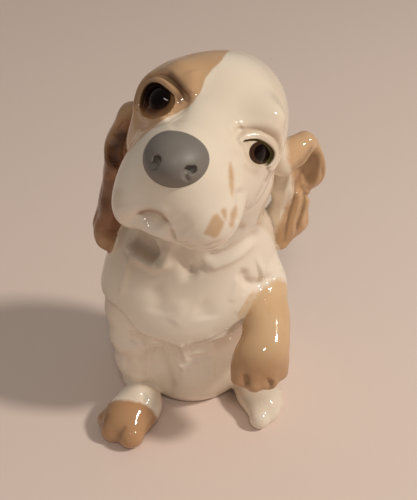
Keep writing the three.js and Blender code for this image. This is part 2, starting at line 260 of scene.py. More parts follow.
# Bib of longer fur: height of its lower edge round the chest, in degrees from straight ahead
BIB_TURN = (-180, -100, -82, -69, -63, -57, -51, -45, -35, -25, -18, -12, -6, 8, 14, 26, 34, 60, 100, 180)
BIB_EDGE = (51, 51, 51, 50.3, 50.6, 49.4, 46.2, 42.6, 41.4, 39.6, 36.9, 38.6, 39.8, 40.6, 41.6, 43.6, 45, 48,
            51, 51)
BIB_CENTRE = (2, 4)
BIB_THICKNESS = 1.7
BIB_FADE = (-0.8, -0.1)
BIB_EDGE_SLOPE, BIB_EDGE_BLEND, BIB_BLEND = 0.75, 0.7, 0.4


def bib(p):
    x, y = p[:, 0] - BIB_CENTRE[0], p[:, 1] - BIB_CENTRE[1]
    front = -y / (np.hypot(x, y) + TINY)
    edge = np.interp(np.degrees(np.arctan2(x, -y)), BIB_TURN, BIB_EDGE)
    thick = BIB_THICKNESS * smooth(front, *BIB_FADE)
    return soft_max(core(p) - thick, (edge - p[:, 2]) * BIB_EDGE_SLOPE, BIB_EDGE_BLEND)


# Pouch of loose skin under the right side of the chin
pouch_ridge = chain([(-16.2, -5.2, 68), (-14.3, -8, 67.2), (-10.6, -11.2, 66.6), (-7.8, -12.3, 68.6),
                     (-7.1, -12, 72.4), (-8.7, -10.6, 75.6)], (1.2, 1.7, 1.9, 1.8, 1.5, 1.2), 1)
pouch_hollow = chain([(-16.6, -6.2, 72.6), (-13.2, -10.8, 71.7), (-10.2, -13.2, 71)], (3.2, 3.4, 3), 1)
RIDGE_BLEND, HOLLOW_BLEND = 1.5, 2


# Vent under the base, which lets the kiln's heat out of the hollow
VENT_RADIUS, VENT_BLEND = 1.7, 0.4
vent = limb((3.5, 20, -2), (3.5, 20, 5), VENT_RADIUS, VENT_RADIUS)


def torso(p):
    value = soft_min(naked(p), bib(p), BIB_BLEND)
    value = soft_min(value, sleeve(p), SLEEVE_BLEND)
    value = soft_max(value, -pouch_hollow(p), HOLLOW_BLEND)
    return soft_max(soft_min(value, pouch_ridge(p), RIDGE_BLEND), -vent(p), VENT_BLEND)


# Head, in its own frame
HEAD_AT = np.array([7, -9.5, 107.0])
YAW, PITCH, ROLL = -18.7, -30.1, 19.8
HEAD_TURN = turned(0, 0, YAW) @ turned(PITCH, 0, 0) @ turned(0, ROLL, 0)


def from_head(p):
    return HEAD_AT + HEAD_TURN @ np.array(p, float)


def to_head(p):
    return (p - HEAD_AT.astype(FLOAT)) @ HEAD_TURN.astype(FLOAT)


FACE_BLEND, CHIN_BLEND, NOSE_BLEND, NOSTRIL_BLEND = 4, 3, 0.4, 0.4
skull = egg((-0.2, 2.8, 3.2), (16.8, 20, 17.9))
face = egg((-2, -8.2, 2.2), (18.9, 11.2, 13))
cheeks = egg((-0.9, -3.9, -10.1), (18.1, 14, 11.2))
bridge = limb((0, -8, -1), (-0.4, -26, -5.5), 9, 6.5)
muzzle = egg((0.1, -18.4, -10.4), (12.7, 14, 10.6))
upper_lip = egg((0.9, -21.4, -14.5), (11.8, 9.5, 8.2))
right_flew = egg((-7.9, -17.9, -19), (6.3, 11, 9.8))
left_flew = egg((7.9, -18.1, -17.1), (8.6, 11, 9.6))
right_brow = egg((-8.5, -13.2, 8.5), (6, 4.5, 3.6), (0, 20, 25))
left_brow = egg((9.5, -12.6, 8.4), (6.5, 4.5, 4.2), (0, -20, -25))
chin = egg((-0.7, -18.5, -24.7), (5.8, 8, 2.8))
nose = egg((-1.3, -29.3, -7.1), (7.7, 9.7, 6.3), (16, -20, 0))
snout = blend(SOFT, skull, face, cheeks, bridge, muzzle, upper_lip)
flews = blend(FACE_BLEND, right_flew, left_flew)
brows = blend(FACE_BLEND, right_brow, left_brow)
bare_head = blend(FACE_BLEND, snout, flews, brows)


# Rays from the camera
NEAREST = 130.0
RAY_STEPS, RAY_SHARE, RAY_NEAR = 400, 0.7, 0.003
SLOPE_REACH = 0.4


def ray_through(u, v):
    return unit(-BACK + RIGHT * (u - FRAME_W / 2) / FOCAL - UP * (v - FRAME_H / 2) / FOCAL)


def seen_at(form, u, v, deep=0.0):
    """Point where a form shows at a place of the frame, moved on by a depth."""
    ray = ray_through(u, v)
    p = CAMERA_AT + ray * NEAREST
    for _ in range(RAY_STEPS):
        away = float(form(p[None].astype(FLOAT))[0])
        if away < RAY_NEAR or p[2] < 0:
            break
        p = p + ray * away * RAY_SHARE
    return p + ray * deep


def where_seen(form, u, v):
    """The same for a form in the head's frame, and in that frame."""
    return to_head(seen_at(lambda p: form(to_head(p)), u, v)[None].astype(FLOAT))[0]


def outward(form, place):
    steps = np.eye(3, dtype=FLOAT) * FLOAT(SLOPE_REACH)
    return unit(np.array([(form(place[None] + s) - form(place[None] - s))[0] for s in steps]))


# Eyes: lengths in millimetres, places in the frame
EYE_REACH, EYE_OUTSIDE = 14, -9.0
CORNEA_BLEND = 0.5
LID_TURN = (-3, 4)


class Eye:
    """Ball under the skin, and the lids' opening, drawn in the frame."""
    def __init__(self, middle, radius, proud, cornea, iris, opening, lid_from, lid_to, lash, shape):
        self.iris = iris
        self.lash = lash
        self.shape = shape
        self.at = where_seen(bare_head, *middle)
        self.out = outward(bare_head, self.at)
        whole = egg(self.at - self.out * (radius - proud), radius)
        front = where_seen(whole, *iris)
        bulge, above = cornea
        dome = egg(front - outward(whole, front) * (bulge - above), bulge)
        self.ball = blend(CORNEA_BLEND, whole, dome)
        self.across = unit(np.cross(self.out, (0, 0, 1)))
        self.rise = np.cross(self.across, self.out)
        self.line = self.flat(np.array([where_seen(bare_head, u, v) for u, v in curve(opening, True, 2)]))
        start, end = np.array(lid_from, float), np.array(lid_to, float)
        self.lid_start = start
        self.lid_side = unit(np.array([end[1] - start[1], start[0] - end[0]]))

    def flat(self, local):
        q = local - self.at
        return np.stack([q @ self.across, q @ self.rise], 1)

    def depth(self, local):
        """Millimetres inside the opening, negative outside it."""
        near = length(local - self.at.astype(FLOAT)) < EYE_REACH
        value = np.full(len(local), EYE_OUTSIDE)
        value[near] = depth_in(self.line, self.flat(local[near]))
        return value

    def upper(self, uv):
        """One at the upper lid, zero at the lower."""
        return smooth((uv - self.lid_start) @ self.lid_side, *LID_TURN)


# Shape of an eye: cut under the upper lid, height of the lid, depth of the crease, share of the lower lid
right_eye = Eye(
    middle=(158, 101), radius=9, proud=0.5, cornea=(3.8, 1.1), iris=(157.4, 96.7),
    opening=[(176.6, 99), (171.8, 92.9), (165.5, 87.3), (159.3, 83.5), (153, 82.9), (148, 85.4),
             (144.4, 89.8), (142, 96), (140.6, 104), (140.6, 110.5), (143.4, 115.6), (148.6, 118.9),
             (153, 119.6), (158, 118.9), (165.5, 116), (170.5, 112.6), (174.3, 107.3)],
    lid_from=(140, 109), lid_to=(177, 101), lash=(141, 150), shape=(1.0, 0.75, 0.8, 1))
left_eye = Eye(
    middle=(258, 152.5), radius=8, proud=0.35, cornea=(5, 0.25), iris=(259.7, 153.3),
    opening=[(241.6, 140.9), (246, 139.2), (253, 138.4), (258.8, 139.3), (265.5, 142.7), (270.5, 146.8),
             (273.8, 151.8), (273.4, 156.8), (271.3, 161), (267.4, 165.4), (262.5, 167.2), (256.5, 167),
             (250.5, 164.6), (246.2, 159), (243.4, 150.5)],
    lid_from=(240, 143), lid_to=(268, 168), lash=(240, 247), shape=(0.7, 0.6, 0.35, 0))
EYES = (right_eye, left_eye)


# Skin round an eye: edges of the cut and of the lid, then creases above and below the opening
# Each crease: millimetres outside the opening, width and depth, negative for a ridge
CUT_EDGE, CUT_BELOW = (-0.05, 0.3), 0.3
LID_OUTER, LID_INNER = (-0.2, 0.15), (-2.0, -1.0)
CREASE_PLACE, ABOVE_LID = (2.1, 0.6), (3.7, 1.3, -0.35)
BELOW_LID = ((0.35, 0.35, -0.5), (2.0, 1.1, 0.3))
BALL_BLEND, SOFTER_BELOW, LOWER_LID_SHARE = 0.3, 1.4, 0.7


def bump(d, middle, width, height):
    return height * np.exp(-((d - middle) / width) ** 2)


def lid_relief(eye, local, upper):
    """How far the skin is cut back round an eye."""
    cut, lid, crease, lower = eye.shape
    inside = eye.depth(local)
    below = CUT_BELOW * lower
    value = cut * smooth(inside, *CUT_EDGE) * (below + (1 - below) * upper)
    value -= upper * lid * smooth(-inside, *LID_OUTER) * smooth(inside, *LID_INNER)
    value += upper * (bump(-inside, *CREASE_PLACE, crease) + bump(-inside, *ABOVE_LID))
    return value + (1 - upper) * lower * sum(bump(-inside, *line) for line in BELOW_LID)


def with_eye(eye, value, local, uv):
    """The skin with an eye's ball set in."""
    upper = eye.upper(uv)
    value = value + lid_relief(eye, local, upper).astype(FLOAT)
    merge = BALL_BLEND + SOFTER_BELOW * (1 - upper) * (1 - LOWER_LID_SHARE * eye.shape[3])
    return soft_min(value, eye.ball(local), merge.astype(FLOAT))


def nose_or_face(local):
    return np.minimum(nose(local), bare_head(local))


def nostril(points, radii):
    """Comma-shaped hole: rods just under the nose's skin, at places of the frame."""
    spots = []
    for u, v, deep in points:
        inward = HEAD_TURN.T @ ray_through(u, v)
        spots.append(where_seen(nose_or_face, u, v) + inward * deep)
    return chain(spots, radii, 0.6)


right_nostril = nostril([(158.5, 161.5, 1.2), (155.5, 165.5, 0.6), (151.5, 167, 0.3), (148.5, 163.5, 0.1),
                         (146.3, 157, 0.0), (146.2, 151, 0.0), (148, 146, -0.1)],
                        (1.35, 0.8, 0.55, 0.4, 0.35, 0.3, 0.15))
left_nostril = nostril([(191.5, 169.2, 1.0), (187.5, 169.6, 0.5), (185, 172.5, 0.2), (185.4, 176.5, 0.1),
                        (188.5, 180.5, 0.1)], (1.1, 0.75, 0.5, 0.45, 0.3))
nostrils = blend(0.2, right_nostril, left_nostril)

# The eyes are set into the skin of the head's front only
FRONT_BEFORE = 2
SKIN_REACH = 6


def head(p):
    local = to_head(p)
    value = soft_min(bare_head(local), chin(local), CHIN_BLEND)
    front = (local[:, 1] < FRONT_BEFORE) & (np.abs(value) < SKIN_REACH)
    if front.any():
        uv, _ = to_photo(p[front])
        for eye in EYES:
            value[front] = with_eye(eye, value[front], local[front], uv)
    value = soft_min(value, nose(local), NOSE_BLEND)
    return soft_max(value, -nostrils(local), NOSTRIL_BLEND)


# Right ear: a thick flap with a hollow near its top
right_flap = flap([from_head((-15.5, 7, 1)), (-14.6, 7.5, 101), (-17.1, 7, 94), (-18, 7, 86), (-19.6, 7, 77),
                   (-22.7, 6.5, 68.5), (-19.6, 6.5, 64.5)], (4, 5.7, 7.3, 7.1, 7.5, 6.1, 6), LIMB,
                  (0.93, -0.37, 0), 1.9)
EAR_HOLLOW = [(125, 124, 0.4), (119, 136, 0.5), (114, 148, 0.7), (114.5, 158, 0.8), (121, 164, 0.4)]
right_hollow = chain([seen_at(right_flap, *spot) for spot in EAR_HOLLOW], (1.2, 1.8, 2.2, 2.1, 1.4), 1)
CARVE_BLEND = 0.8


def right_ear(p):
    return soft_max(right_flap(p), -right_hollow(p), CARVE_BLEND)


# Left ear: it folds outwards in a roll, opens in a bowl with a thin rim, and hangs behind
EAR_BLEND, EAR_THIN, EAR_THINNING = 1.5, (0.35, 0.94, 0), 1.9
SHEET_BLEND, RIM_BLEND, RIM_JOINT_BLEND = 1.2, 0.5, 0.15
ear_roll = chain([from_head((9, 12, 4)), (27.1, 1, 90.3), (30.9, 4, 90.7), (34.5, 5.5, 92.4),
                  (37, 6.6, 91.6)], (3.4, 4.3, 4.3, 3.2, 1.7), EAR_BLEND)
EAR_RIM = curve([(36, 6.3, 92.6), (38.6, 7.2, 89.8), (40.8, 7.8, 84.5), (41.4, 8.5, 79.4), (40, 9, 76),
                 (37, 9.6, 73.6)], parts=5)
RIM_RADII = np.interp(np.arange(len(EAR_RIM)), (0, 6, 20, 25), (1.4, 0.9, 0.8, 0.6))
ear_rim = chain(EAR_RIM, RIM_RADII, RIM_JOINT_BLEND)
ear_pocket = flap([(36.2, 8, 90), (35.9, 9.2, 84.5), (36, 9.8, 79.3), (34.8, 10.2, 75.8)], (3, 4.8, 5, 4.3),
                  EAR_BLEND, EAR_THIN, EAR_THINNING)
ear_bowl = egg((35.6, 5.2, 81.5), (4.2, 4, 7.6), (0, 8, 20))
ear_hanging = flap([(30, 8, 87), (29.8, 8.6, 77), (32.6, 9.6, 69.6), (31.7, 10, 63.5), (29.5, 10.4, 55.2)],
                   (3.2, 4.6, 5.4, 6.7, 4), EAR_BLEND, EAR_THIN, EAR_THINNING)
ear_sheet = blend(SHEET_BLEND, blend(EAR_BLEND, ear_roll, ear_hanging), ear_pocket)


def left_ear(p):
    return soft_min(soft_max(ear_sheet(p), -ear_bowl(p), CARVE_BLEND), ear_rim(p), RIM_BLEND)


# Forelegs
right_foreleg = chain([(-15, 2, 50), (-17.4, -0.5, 43), (-17.9, -1.5, 33), (-17.2, 1, 20), (-15.9, 3, 10)],
                      (8, 7.6, 6.4, 6, 6.3), LIMB)
PAW_AT = (18, -21.5, 36)
PAW_TOES = [(12.3, -24.5, 32), (16.2, -26.5, 31.2), (20.5, -26.5, 31.8), (24, -24, 32.6)]
PAW_TOE_RADIUS, PAW_TOE_BACK = 2.9, (0.1, 1, 2.6)
PAW_BLEND, PAW_TOE_BLEND = 6, 2
forearm = egg((21.9, -8.6, 44.6), (7.6, 18, 7.5), (21, 0, 0))
paw = egg(PAW_AT, (7.7, 6.6, 7.6), (20, 0, 0))
paw_toes = [limb(t, np.array(t) + PAW_TOE_BACK, PAW_TOE_RADIUS, PAW_TOE_RADIUS) for t in PAW_TOES]
left_foreleg = blend(PAW_TOE_BLEND, blend(PAW_BLEND, forearm, paw), *paw_toes)

# Hind feet and tail
TOE_BLEND = 1.6
TOE_LENGTH, KNUCKLE_RISE, KNUCKLE_SPREAD = 6.5, 0.7, 0.6


def foot(heel, heel_radius, middle, radii, turn, toes):
    """Heel, an egg over the instep and one short limb for each toe: its end and radius."""
    forms = [egg(heel, heel_radius), egg(middle, radii, (0, 0, turn))]
    for x, y, z, radius in toes:
        back_way = unit(np.array([middle[0] - x, middle[1] - y, 0]))
        knuckle = np.array([x, y, z + KNUCKLE_RISE]) + back_way * TOE_LENGTH
        forms.append(limb(knuckle, (x, y, z), radius + KNUCKLE_SPREAD, radius))
    return blend(TOE_BLEND, *forms)


right_hind_leg = foot((-17.1, -6.6, 5.7), 7.4, (-20.4, -9.6, 4.4), (8.1, 10.5, 7.4), -42,
                      [(-21, -17.8, 4.1, 4.4), (-26.8, -14.6, 3.3, 3.6), (-28.2, -9.6, 3, 3.2)])
left_hind_leg = foot((19.6, -1.1, 6), 5.8, (21.8, -7.2, 4.4), (6.9, 10, 5.9), 20,
                     [(20.7, -16.2, 3.3, 3.5), (24.2, -13.9, 3.1, 3.3), (27, -10.3, 2.9, 3),
                      (27.6, -6.3, 2.7, 2.8)])
tail = chain([(4, 31, 9), (7, 37, 6.5), (11, 39, 5)], (5.4, 4.4, 3.3), LIMB)

# The castings: form, slot and the size of a cell of the skin
NODES = {
    "torso": (within(torso, (3, 8, 45), 62), "ivory_glaze", 0.6),
    "head": (within(head, HEAD_AT, 42), "ivory_glaze", 0.3),
    "right_ear": (within(right_ear, (-20, 6, 82), 34), "brown_glaze", 0.5),
    "left_ear": (within(left_ear, (33, 6, 75), 34), "tan_glaze", 0.35),
    "right_foreleg": (within(right_foreleg, (-16, -2, 34), 36), "ivory_glaze", 0.5),
    "left_foreleg": (within(left_foreleg, (21, -13, 42), 32), "tan_glaze", 0.45),
    "right_hind_leg": (within(right_hind_leg, (-18, -9, 5), 22), "tan_glaze", 0.4),
    "left_hind_leg": (within(left_hind_leg, (18, -8, 5), 22), "ivory_glaze", 0.4),
    "tail": (within(tail, (7, 36, 6), 16), "ivory_glaze", 0.5),
}
NAMES = list(NODES)

# The castings blend into one skin; each piece reaches under its neighbours and sinks there
LUTING = 1.2
FLOOR_BLEND = 0.6
OVERLAP = 1.4
RANK_STEP = 0.02
SINK, SINK_FROM = 0.4, 0.3


def node_values(p):
    return np.stack([NODES[name][0](p) for name in NAMES], 1)


def whole_of(values, p):
    value = values[:, 0]
    for i in range(1, len(NAMES)):
        value = soft_min(value, values[:, i], LUTING)
    return soft_max(value, -p[:, 2], FLOOR_BLEND)


def lead(values, index):
    """Millimetres by which places are nearer to one node than to all others."""
    return np.delete(values, index, 1).min(1) - values[:, index]


def piece_form(index):
    def form(p):
        values = node_values(p)
        sink = FLOAT(RANK_STEP * index) + FLOAT(SINK) * smooth(-lead(values, index), SINK_FROM, OVERLAP)
        return np.maximum(whole_of(values, p) + sink, values[:, index] - FLOAT(OVERLAP))
    return form


# Surface of a form, from a grid that is filled in only near it
BLOCK = 8
BLOCK_REACH = 1.305
BLEND_REACH = 0.8
FAR_VALUE = 10
CHUNK = 200000
CORNERS = [(a, b, c) for a in (0, 1) for b in (0, 1) for c in (0, 1)]
EDGES = [(i, j) for i in range(8) for j in range(i + 1, 8) if (i ^ j) in (1, 2, 4)]


def evaluate(form, points):
    return np.concatenate([form(points[i:i + CHUNK]) for i in range(0, len(points), CHUNK)])


def sample(form, low, high, step):
    """The form at the cells' corners, worked out only in blocks near the surface."""
    blocks = np.ceil((high - low) / (step * BLOCK)).astype(int)
    grid = np.stack(np.meshgrid(*[np.arange(n) for n in blocks], indexing="ij"), -1).reshape(-1, 3)
    value = evaluate(form, (low + (grid + 0.5) * step * BLOCK).astype(FLOAT))
    field = np.sign(value).reshape(blocks)
    for axis in range(3):
        field = np.repeat(field, BLOCK, axis)
    field = np.pad(field, ((0, 1), (0, 1), (0, 1)), mode="edge").astype(FLOAT) * FAR_VALUE
    wanted = np.zeros(field.shape, bool)
    for i, j, k in grid[np.abs(value) < step * BLOCK * BLOCK_REACH + BLEND_REACH] * BLOCK:
        wanted[i:i + BLOCK + 1, j:j + BLOCK + 1, k:k + BLOCK + 1] = True
    field[wanted] = evaluate(form, (low + np.argwhere(wanted) * step).astype(FLOAT))
    return field


def crossed_cells(inside):
    n = np.array(inside.shape) - 1
    total = np.zeros(n, np.int8)
    for a, b, c in CORNERS:
        total += inside[a:a + n[0], b:b + n[1], c:c + n[2]]
    return np.argwhere((total > 0) & (total < len(CORNERS)))


def cell_middles(field, cells):
    """In each cell, the mean of the places where its edges cross the surface."""
    values = np.stack([field[cells[:, 0] + a, cells[:, 1] + b, cells[:, 2] + c] for a, b, c in CORNERS], 1)
    places = np.array(CORNERS, float)
    sums = np.zeros((len(cells), 3))
    hits = np.zeros(len(cells))
    for i, j in EDGES:
        crossing = (values[:, i] < 0) != (values[:, j] < 0)
        share = np.where(crossing, values[:, i] / np.where(crossing, values[:, i] - values[:, j], 1), 0)
        sums += (places[i] + share[:, None] * (places[j] - places[i])) * crossing[:, None]
        hits += crossing
    return sums / hits[:, None]


def crossed_faces(inside, index, axis):
    """One quad for each grid edge along an axis that crosses the surface."""
    n = index.shape
    u, v = (axis + 1) % 3, (axis + 2) % 3
    edge = np.argwhere(np.diff(inside, axis=axis))
    edge = edge[(edge[:, u] > 0) & (edge[:, v] > 0) & (edge[:, u] < n[u]) & (edge[:, v] < n[v])]
    step_u, step_v = np.eye(3, dtype=int)[[u, v]]
    around = (edge - step_u - step_v, edge - step_v, edge, edge - step_u)
    quad = np.stack([index[tuple(cell.T)] for cell in around], 1)
    reverse = ~inside[tuple(edge.T)]
    quad[reverse] = quad[reverse][:, ::-1]
    return quad


def surface(form, low, high, step):
    """Quads where the form is zero, with one vertex in each crossed cell."""
    field = sample(form, low, high, step)
    inside = field < 0
    cells = crossed_cells(inside)
    vertices = low + (cells + cell_middles(field, cells)) * step
    index = np.full(np.array(field.shape) - 1, -1, np.int32)
    index[tuple(cells.T)] = np.arange(len(cells))
    faces = np.concatenate([crossed_faces(inside, index, axis) for axis in range(3)])
    return vertices, faces[(faces >= 0).all(1)]


FINE_REACH = 0.05
SLOPE_FLOOR = 0.15
SETTLE_ROUNDS = 2


def slope_of(form, p):
    steps = np.eye(3, dtype=FLOAT) * FLOAT(FINE_REACH)
    return np.stack([(evaluate(form, p + s) - evaluate(form, p - s)) / (2 * FINE_REACH) for s in steps], 1)


def settle(form, vertices, faces, step):
    """Even out the vertices and set them exactly on the form."""
    count = len(vertices)
    a, b = faces.T.ravel(), np.roll(faces, -1, 1).T.ravel()
    start, end = np.concatenate([a, b]), np.concatenate([b, a])
    degree = np.maximum(np.bincount(start, minlength=count), 1)
    p = vertices.astype(FLOAT)
    for _ in range(SETTLE_ROUNDS):
        sums = [np.bincount(start, weights=p[end, i], minlength=count) for i in range(3)]
        p = (0.5 * p + 0.5 * (np.stack(sums, 1) / degree[:, None])).astype(FLOAT)
        slope = slope_of(form, p)
        steepness = np.maximum(np.einsum("ij,ij->i", slope, slope), SLOPE_FLOOR)
        move = evaluate(form, p)[:, None] * slope / steepness[:, None]
        size = length(move)[:, None]
        p = (p - move * np.minimum(1, step / np.maximum(size, 1e-9))).astype(FLOAT)
    return p


# Relief: ridges and creases, drawn in the frame
# Each: width and height in millimetres, points
COLLAR_FOLDS = [
    (1.0, 0.9, [(130, 253), (128, 265.5), (125, 278), (120, 298)]),
    (1.1, 0.7, [(131, 251), (139, 258.5), (149, 264), (156.5, 268), (163, 265), (166.5, 256), (165, 246)]),
    (1.8, -1.3, [(176, 243), (182, 258), (187, 271), (191, 283)]),
    (1.5, -0.9, [(189, 267), (197, 268.5), (206, 266)]),
    (1.2, -0.8, [(192, 268), (192.5, 277)]),
    (1.3, 0.9, [(256, 238), (244, 249.5), (231, 258.5), (216, 264.5), (206, 269)]),
    (1.5, -1.1, [(261, 228), (250, 238), (238, 247), (220, 255), (204, 257)]),
    (1.1, 0.6, [(250, 228), (240, 238), (226, 248), (208, 252)]),
    (1.3, -0.8, [(246, 224), (236, 234), (222, 243), (206, 247)]),
]
SHOULDER_SWIRL = [
    (1.4, -1.5, [(247, 268), (244.5, 276), (249, 283.5), (258, 285), (268, 280.5), (277, 272)]),
    (3.2, 1.2, [(258, 272), (266, 270)]),
    (0.9, 0.8, [(278, 254), (281, 263), (278.5, 272)]),
]
CHEST_FUR = [
    (1.0, 0.35, [(238, 276), (235, 290), (231, 303)]),
    (1.0, 0.3, [(244, 292), (241, 304), (236, 315)]),
    (3.0, -0.6, [(196, 306), (204, 312), (206, 320)]),
    (2.2, 0.35, [(176, 300), (180, 312), (172, 325)]),
    (2.5, -0.5, [(150, 285), (158, 300), (156, 315)]),
]
BELLY_TUFTS = [
    (0.6, 0.6, [(180, 343), (182, 349), (184.5, 356), (184.5, 363)]),
    (0.6, 0.6, [(175, 361), (183, 366.5), (198, 364), (214, 359.5)]),
    (0.6, 0.6, [(183, 366), (183, 372), (181.5, 379)]),
    (0.6, 0.45, [(187, 355), (198, 354), (211, 353)]),
    (0.6, 0.5, [(214, 359.5), (212, 368.5), (213, 378)]),
    (0.6, 0.6, [(185, 345), (200, 344), (214, 338), (228, 333), (240, 327)]),
    (1.8, -0.7, [(188, 349), (200, 348.5), (211, 345)]),
    (1.8, -0.6, [(188, 360), (200, 358.5), (210, 356.5)]),
    (2.2, -0.6, [(192, 372), (202, 370), (208, 368)]),
]
LEG_FOLDS = [
    (2.6, -2.0, [(153, 345), (158, 357), (163.5, 371), (169, 386), (174, 394)]),
    (4.0, 0.6, [(134, 352), (138, 368), (143, 384)]),
    (1.5, -0.9, [(127, 339), (136, 341.5), (146, 345)]),
]
PAW_CLEFTS = [
    (0.7, -0.8, [(243.5, 374), (246.5, 379), (247, 387)]),
    (1.1, -1.1, [(272.5, 389), (270, 384), (272, 379.5)]),
]
FOOT_CLEFT = [(0.8, -0.5, [(142, 392), (144.5, 397), (143, 402)])]
LIPS_AND_BROW = [
    (0.5, 0.35, [(112.5, 190), (112.3, 202), (114, 213), (119, 221), (126, 225), (136, 226), (145, 231.5),
                 (155, 235.5), (165, 237), (173, 240)]),
    (0.6, -0.35, [(181, 241), (187, 246), (195, 248.5), (205, 248), (215, 244.5), (225, 238)]),
    (1.3, 0.5, [(124, 223), (127, 214.5), (132, 209.5), (140, 207.3), (149, 206.5), (158, 208.5),
                (165, 213.5), (170, 219)]),
    (0.6, 0.4, [(171.5, 223), (173.5, 231), (177.5, 240)]),
    (0.6, -0.7, [(171, 229), (172, 234), (174, 239)]),
    (3.0, -0.35, [(173, 218), (179, 226.5), (184.5, 234)]),
    (1.5, -0.8, [(241, 186), (242, 200), (240.5, 214), (237, 226)]),
    (0.5, -0.25, [(267, 166), (268.8, 174), (264, 183), (257.5, 194), (253, 202)]),
    (0.5, -0.25, [(257, 203), (249, 214)]),
    (1.6, -0.5, [(238, 150), (234, 160), (232, 172), (233, 184)]),
    (2.4, -0.6, [(182, 92), (181, 104), (174, 114), (164, 122)]),
    (2.0, 0.5, [(189, 70), (192, 82), (190, 94)]),
    (2.0, -0.4, [(234, 141), (236, 133), (244, 127)]),
]
# Crease under the roll, edge of the pocket and the wavy locks below
LEFT_LOCK_NEAR = [(297, 175), (295, 186), (294.5, 196), (292, 206), (289, 216), (286.5, 230), (285, 243)]
LEFT_LOCK_FAR = [(303, 191), (304.5, 198), (303, 207), (300.5, 216), (297.5, 225), (296, 233)]
LEFT_EAR_LOCKS = [
    (0.6, -0.5, [(314, 144), (305, 157), (298, 164), (289, 171)]),
    (0.8, 0.6, [(301, 170), (301.5, 182), (305, 190), (313, 193)]),
    (0.8, 0.5, [(293, 172), (288, 182), (284, 195), (281, 208), (279, 222), (277, 236)]),
    (0.55, -0.6, LEFT_LOCK_NEAR),
    (0.7, 0.45, [(300, 184), (299, 194), (298, 203), (296, 212), (293, 222), (291.5, 232), (289, 243)]),
    (0.55, -0.6, LEFT_LOCK_FAR),
    (0.6, 0.45, [(307, 196), (307.5, 203), (305, 211), (302, 219), (301, 228)]),
    (0.5, -0.5, [(311, 203), (307, 211), (308, 220), (306, 229)]),
]
# Thin rim below the hollow, and the tip rolled forward
RIGHT_EAR_FOLDS = [
    (0.6, 0.5, [(105, 155), (109, 162), (114, 168), (117, 176)]),
    (1.6, -0.6, [(106, 172), (107, 188), (103, 205)]),
    (0.9, 0.6, [(96, 236), (106, 239), (118, 240), (126, 238)]),
    (0.8, -0.5, [(98, 229), (110, 234), (122, 232)]),
]
RIDGES = {
    "torso": COLLAR_FOLDS + SHOULDER_SWIRL + CHEST_FUR + BELLY_TUFTS,
    "torso left_foreleg right_foreleg": LEG_FOLDS,
    "left_foreleg": PAW_CLEFTS,
    "right_hind_leg": FOOT_CLEFT,
    "head": LIPS_AND_BROW,
    "left_ear": LEFT_EAR_LOCKS,
    "right_ear": RIGHT_EAR_FOLDS,
}
# The mouth is cut in with one steep side
MOUTH = {"head": [(0.9, -1.7, [(135, 217), (139, 213), (146, 210.3), (153, 210.3), (160, 213), (165, 218),
                               (170, 225.5)])]}

# The same where the camera doesn't see: drawn from the side or from behind, in millimetres
# Each view: the two axes of the drawing and the way that the skin faces
LEFT_SIDE, RIGHT_SIDE, BEHIND = ((1, 2), (1, 0, 0)), ((1, 2), (-1, 0, 0)), ((0, 2), (0, 1, 0))
HAUNCH_LINES = [
    (1.8, -0.9, [(-2, 8), (-2.5, 17), (1, 26), (8, 33), (17, 36.5), (26, 35)]),
    (1.3, -0.6, [(4, 5), (11, 7.5), (19, 6)]),
]
HIDDEN = [
    ("torso", LEFT_SIDE, HAUNCH_LINES),
    ("torso", RIGHT_SIDE, HAUNCH_LINES + [(2.2, -0.6, [(2, 66), (9, 60), (12, 52)])]),
    ("torso", BEHIND, [(1.8, -0.5, [(3.5, 62), (3, 48), (3.5, 34), (3.5, 20)])]),
    ("right_ear", RIGHT_SIDE, [
        (0.8, -0.5, [(3.5, 96), (5.5, 88), (3.5, 78), (5, 68)]),
        (0.8, -0.5, [(9.5, 92), (10.5, 82), (9, 72), (10, 65)]),
        (0.8, 0.4, [(6.5, 92), (8, 82), (6, 72), (7.5, 64)]),
    ]),
    ("right_ear", BEHIND, [(0.8, -0.5, [(-16, 96), (-18.5, 86), (-18, 76), (-21, 66)])]),
    ("left_ear", BEHIND, [
        (0.8, -0.5, [(34, 84), (33, 76), (34.5, 68), (31, 58)]),
        (0.8, -0.5, [(30, 80), (29, 72), (30.5, 64), (28.5, 55)]),
        (0.8, 0.4, [(32, 82), (31, 74), (32.5, 66), (30, 57)]),
    ]),
]

# Pixels that a line of the relief or the paint reaches, for each millimetre of its width
RIDGE_REACH, FOLD_REACH = 10.4, 36
RELIEF_FACING, PAINT_FACING, UNSEEN_FACING = (0.05, 0.45), (0.0, 0.2), (0.25, 0.6)
RELIEF_ENDS, SHADE_ENDS = (-0.02, 0.2), (-0.02, 0.15)
SEAM_CHANGE = (-0.5, 0.5)
LEAST_SHARE = 0.01


def ridge(distance, side, width):
    return np.exp(-(distance / width) ** 2)


def fold(distance, side, width):
    """Steep on the left of the line, slow on its right."""
    signed = distance * side
    return smooth(signed, -0.4 * width, 0.5 * width) * np.exp(-np.maximum(signed, 0) / (3 * width))


def facing_camera(p, normals, low, high):
    to_camera = CAMERA_AT - p
    return smooth(np.einsum("ij,ij->i", normals, to_camera) / length(to_camera), low, high)


def share_of(values, places):
    """One on the named pieces and zero on the others, soft at their seams."""
    mine = [NAMES.index(name) for name in places.split()]
    others = [i for i in range(len(NAMES)) if i not in mine]
    return smooth(values[:, others].min(1) - values[:, mine].min(1), *SEAM_CHANGE)


def near_line(line, q, reach):
    """Whether places are in a line's box, widened by a reach."""
    return ((q > line.min(0) - reach) & (q < line.max(0) + reach)).all(1)


def fade_ends(travel, low, high):
    return smooth(travel, low, high) * smooth(1 - travel, low, high)


